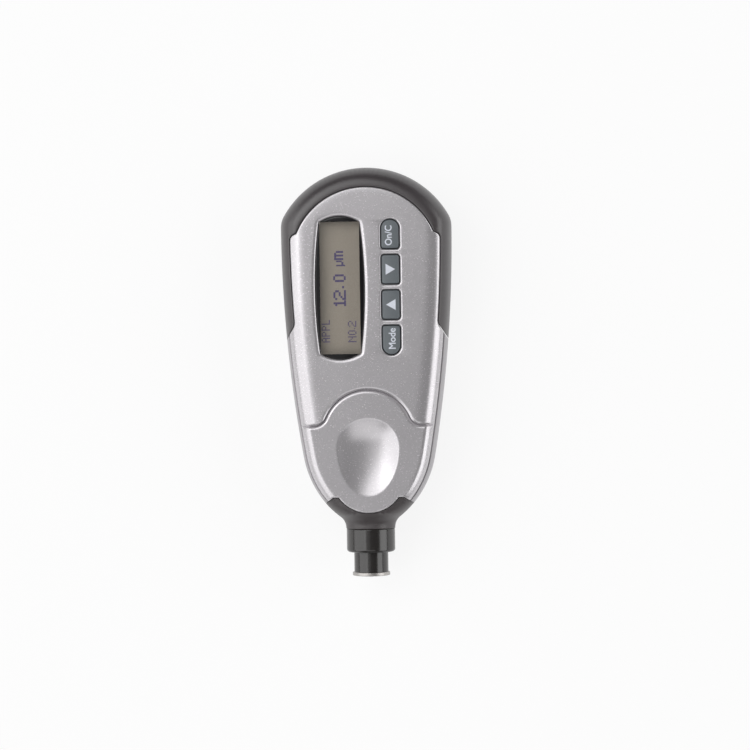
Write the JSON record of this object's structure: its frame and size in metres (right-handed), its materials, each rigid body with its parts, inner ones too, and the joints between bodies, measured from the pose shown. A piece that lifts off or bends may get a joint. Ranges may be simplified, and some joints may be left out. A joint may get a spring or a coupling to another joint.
{
  "type": "coating thickness gauge",
  "caption": "Pocket gauge with a rounded two-part case, display, keys, thumb hollow and a sprung probe in its nose, for measuring the thickness of coatings on metal.",
  "frame": {"origin": "middle of the bounding box on the back face, which lies on the floor", "axes": "+X across the case, +Y along it towards the top end with the probe towards -Y, +Z out of the front face"},
  "size_m": [0.05, 0.12, 0.0234],
  "materials": {
    "silver_case": "silver metallic lacquer on ABS, satin",
    "soft_grip": "dark grey soft moulding, satin",
    "window": "clear acrylic, black round its edge",
    "display_glass": "grey-green display glass",
    "contact_rubber": "conductive rubber, layered",
    "light_guide": "natural plastic",
    "key_grey": "mid grey, fine grain",
    "board": "green solder resist",
    "black_gloss": "glossy black",
    "lead_red": "red insulation",
    "cell_wrap": "plain wrap",
    "bright_steel": "bright steel",
    "brass": "turned brass",
    "copper_wire": "lacquered copper wire"
  },
  "bodies": {
    "case": {"front_cover": "silver_case", "rear_cover": "silver_case", "top_bumper": "soft_grip", "nose_boot": "soft_grip", "display_window": "window", "lcd_panel": "display_glass", "lcd_contacts": "contact_rubber", "backlight": "light_guide", "dome_sheet": "bright_steel", "main_board": "board", "board_chips": "black_gloss", "buzzer": "black_gloss", "probe_socket": "light_guide", "probe_leads": "lead_red", "battery_cells": "cell_wrap", "battery_contacts": "bright_steel", "battery_bridge": "bright_steel", "case_screws": "bright_steel", "probe_collar": "black_gloss", "probe_nut": "brass", "probe_sleeve": "black_gloss", "wear_ring": "bright_steel", "probe_spring": "bright_steel", "probe_guide": "light_guide"},
    "door": {"battery_door": "silver_case"},
    "on_key": {"key_on": "key_grey"},
    "right_key": {"key_right": "key_grey"},
    "left_key": {"key_left": "key_grey"},
    "mode_key": {"key_mode": "key_grey"},
    "probe": {"pole_pin": "bright_steel", "coil_bobbin": "light_guide", "probe_coils": "copper_wire"}
  },
  "joints": [
    {"name": "door_slide", "type": "slide", "parent": "case", "child": "door", "axis": [0, 1, 0], "range_m": [0, 0.062]},
    {"name": "on_press", "type": "slide", "parent": "case", "child": "on_key", "axis": [0, 0, -1], "range_m": [0, 0.0005], "stiffness_N_per_m": 2500, "springref_m": -0.0001},
    {"name": "right_press", "type": "slide", "parent": "case", "child": "right_key", "axis": [0, 0, -1], "range_m": [0, 0.0005], "stiffness_N_per_m": 2500, "springref_m": -0.0001},
    {"name": "left_press", "type": "slide", "parent": "case", "child": "left_key", "axis": [0, 0, -1], "range_m": [0, 0.0005], "stiffness_N_per_m": 2500, "springref_m": -0.0001},
    {"name": "mode_press", "type": "slide", "parent": "case", "child": "mode_key", "axis": [0, 0, -1], "range_m": [0, 0.0005], "stiffness_N_per_m": 2500, "springref_m": -0.0001},
    {"name": "probe_press", "type": "slide", "parent": "case", "child": "probe", "axis": [0, 1, 0], "range_m": [0, 0.0009], "stiffness_N_per_m": 300, "springref_m": -0.002, "deforming": ["probe_spring"]}
  ]
}
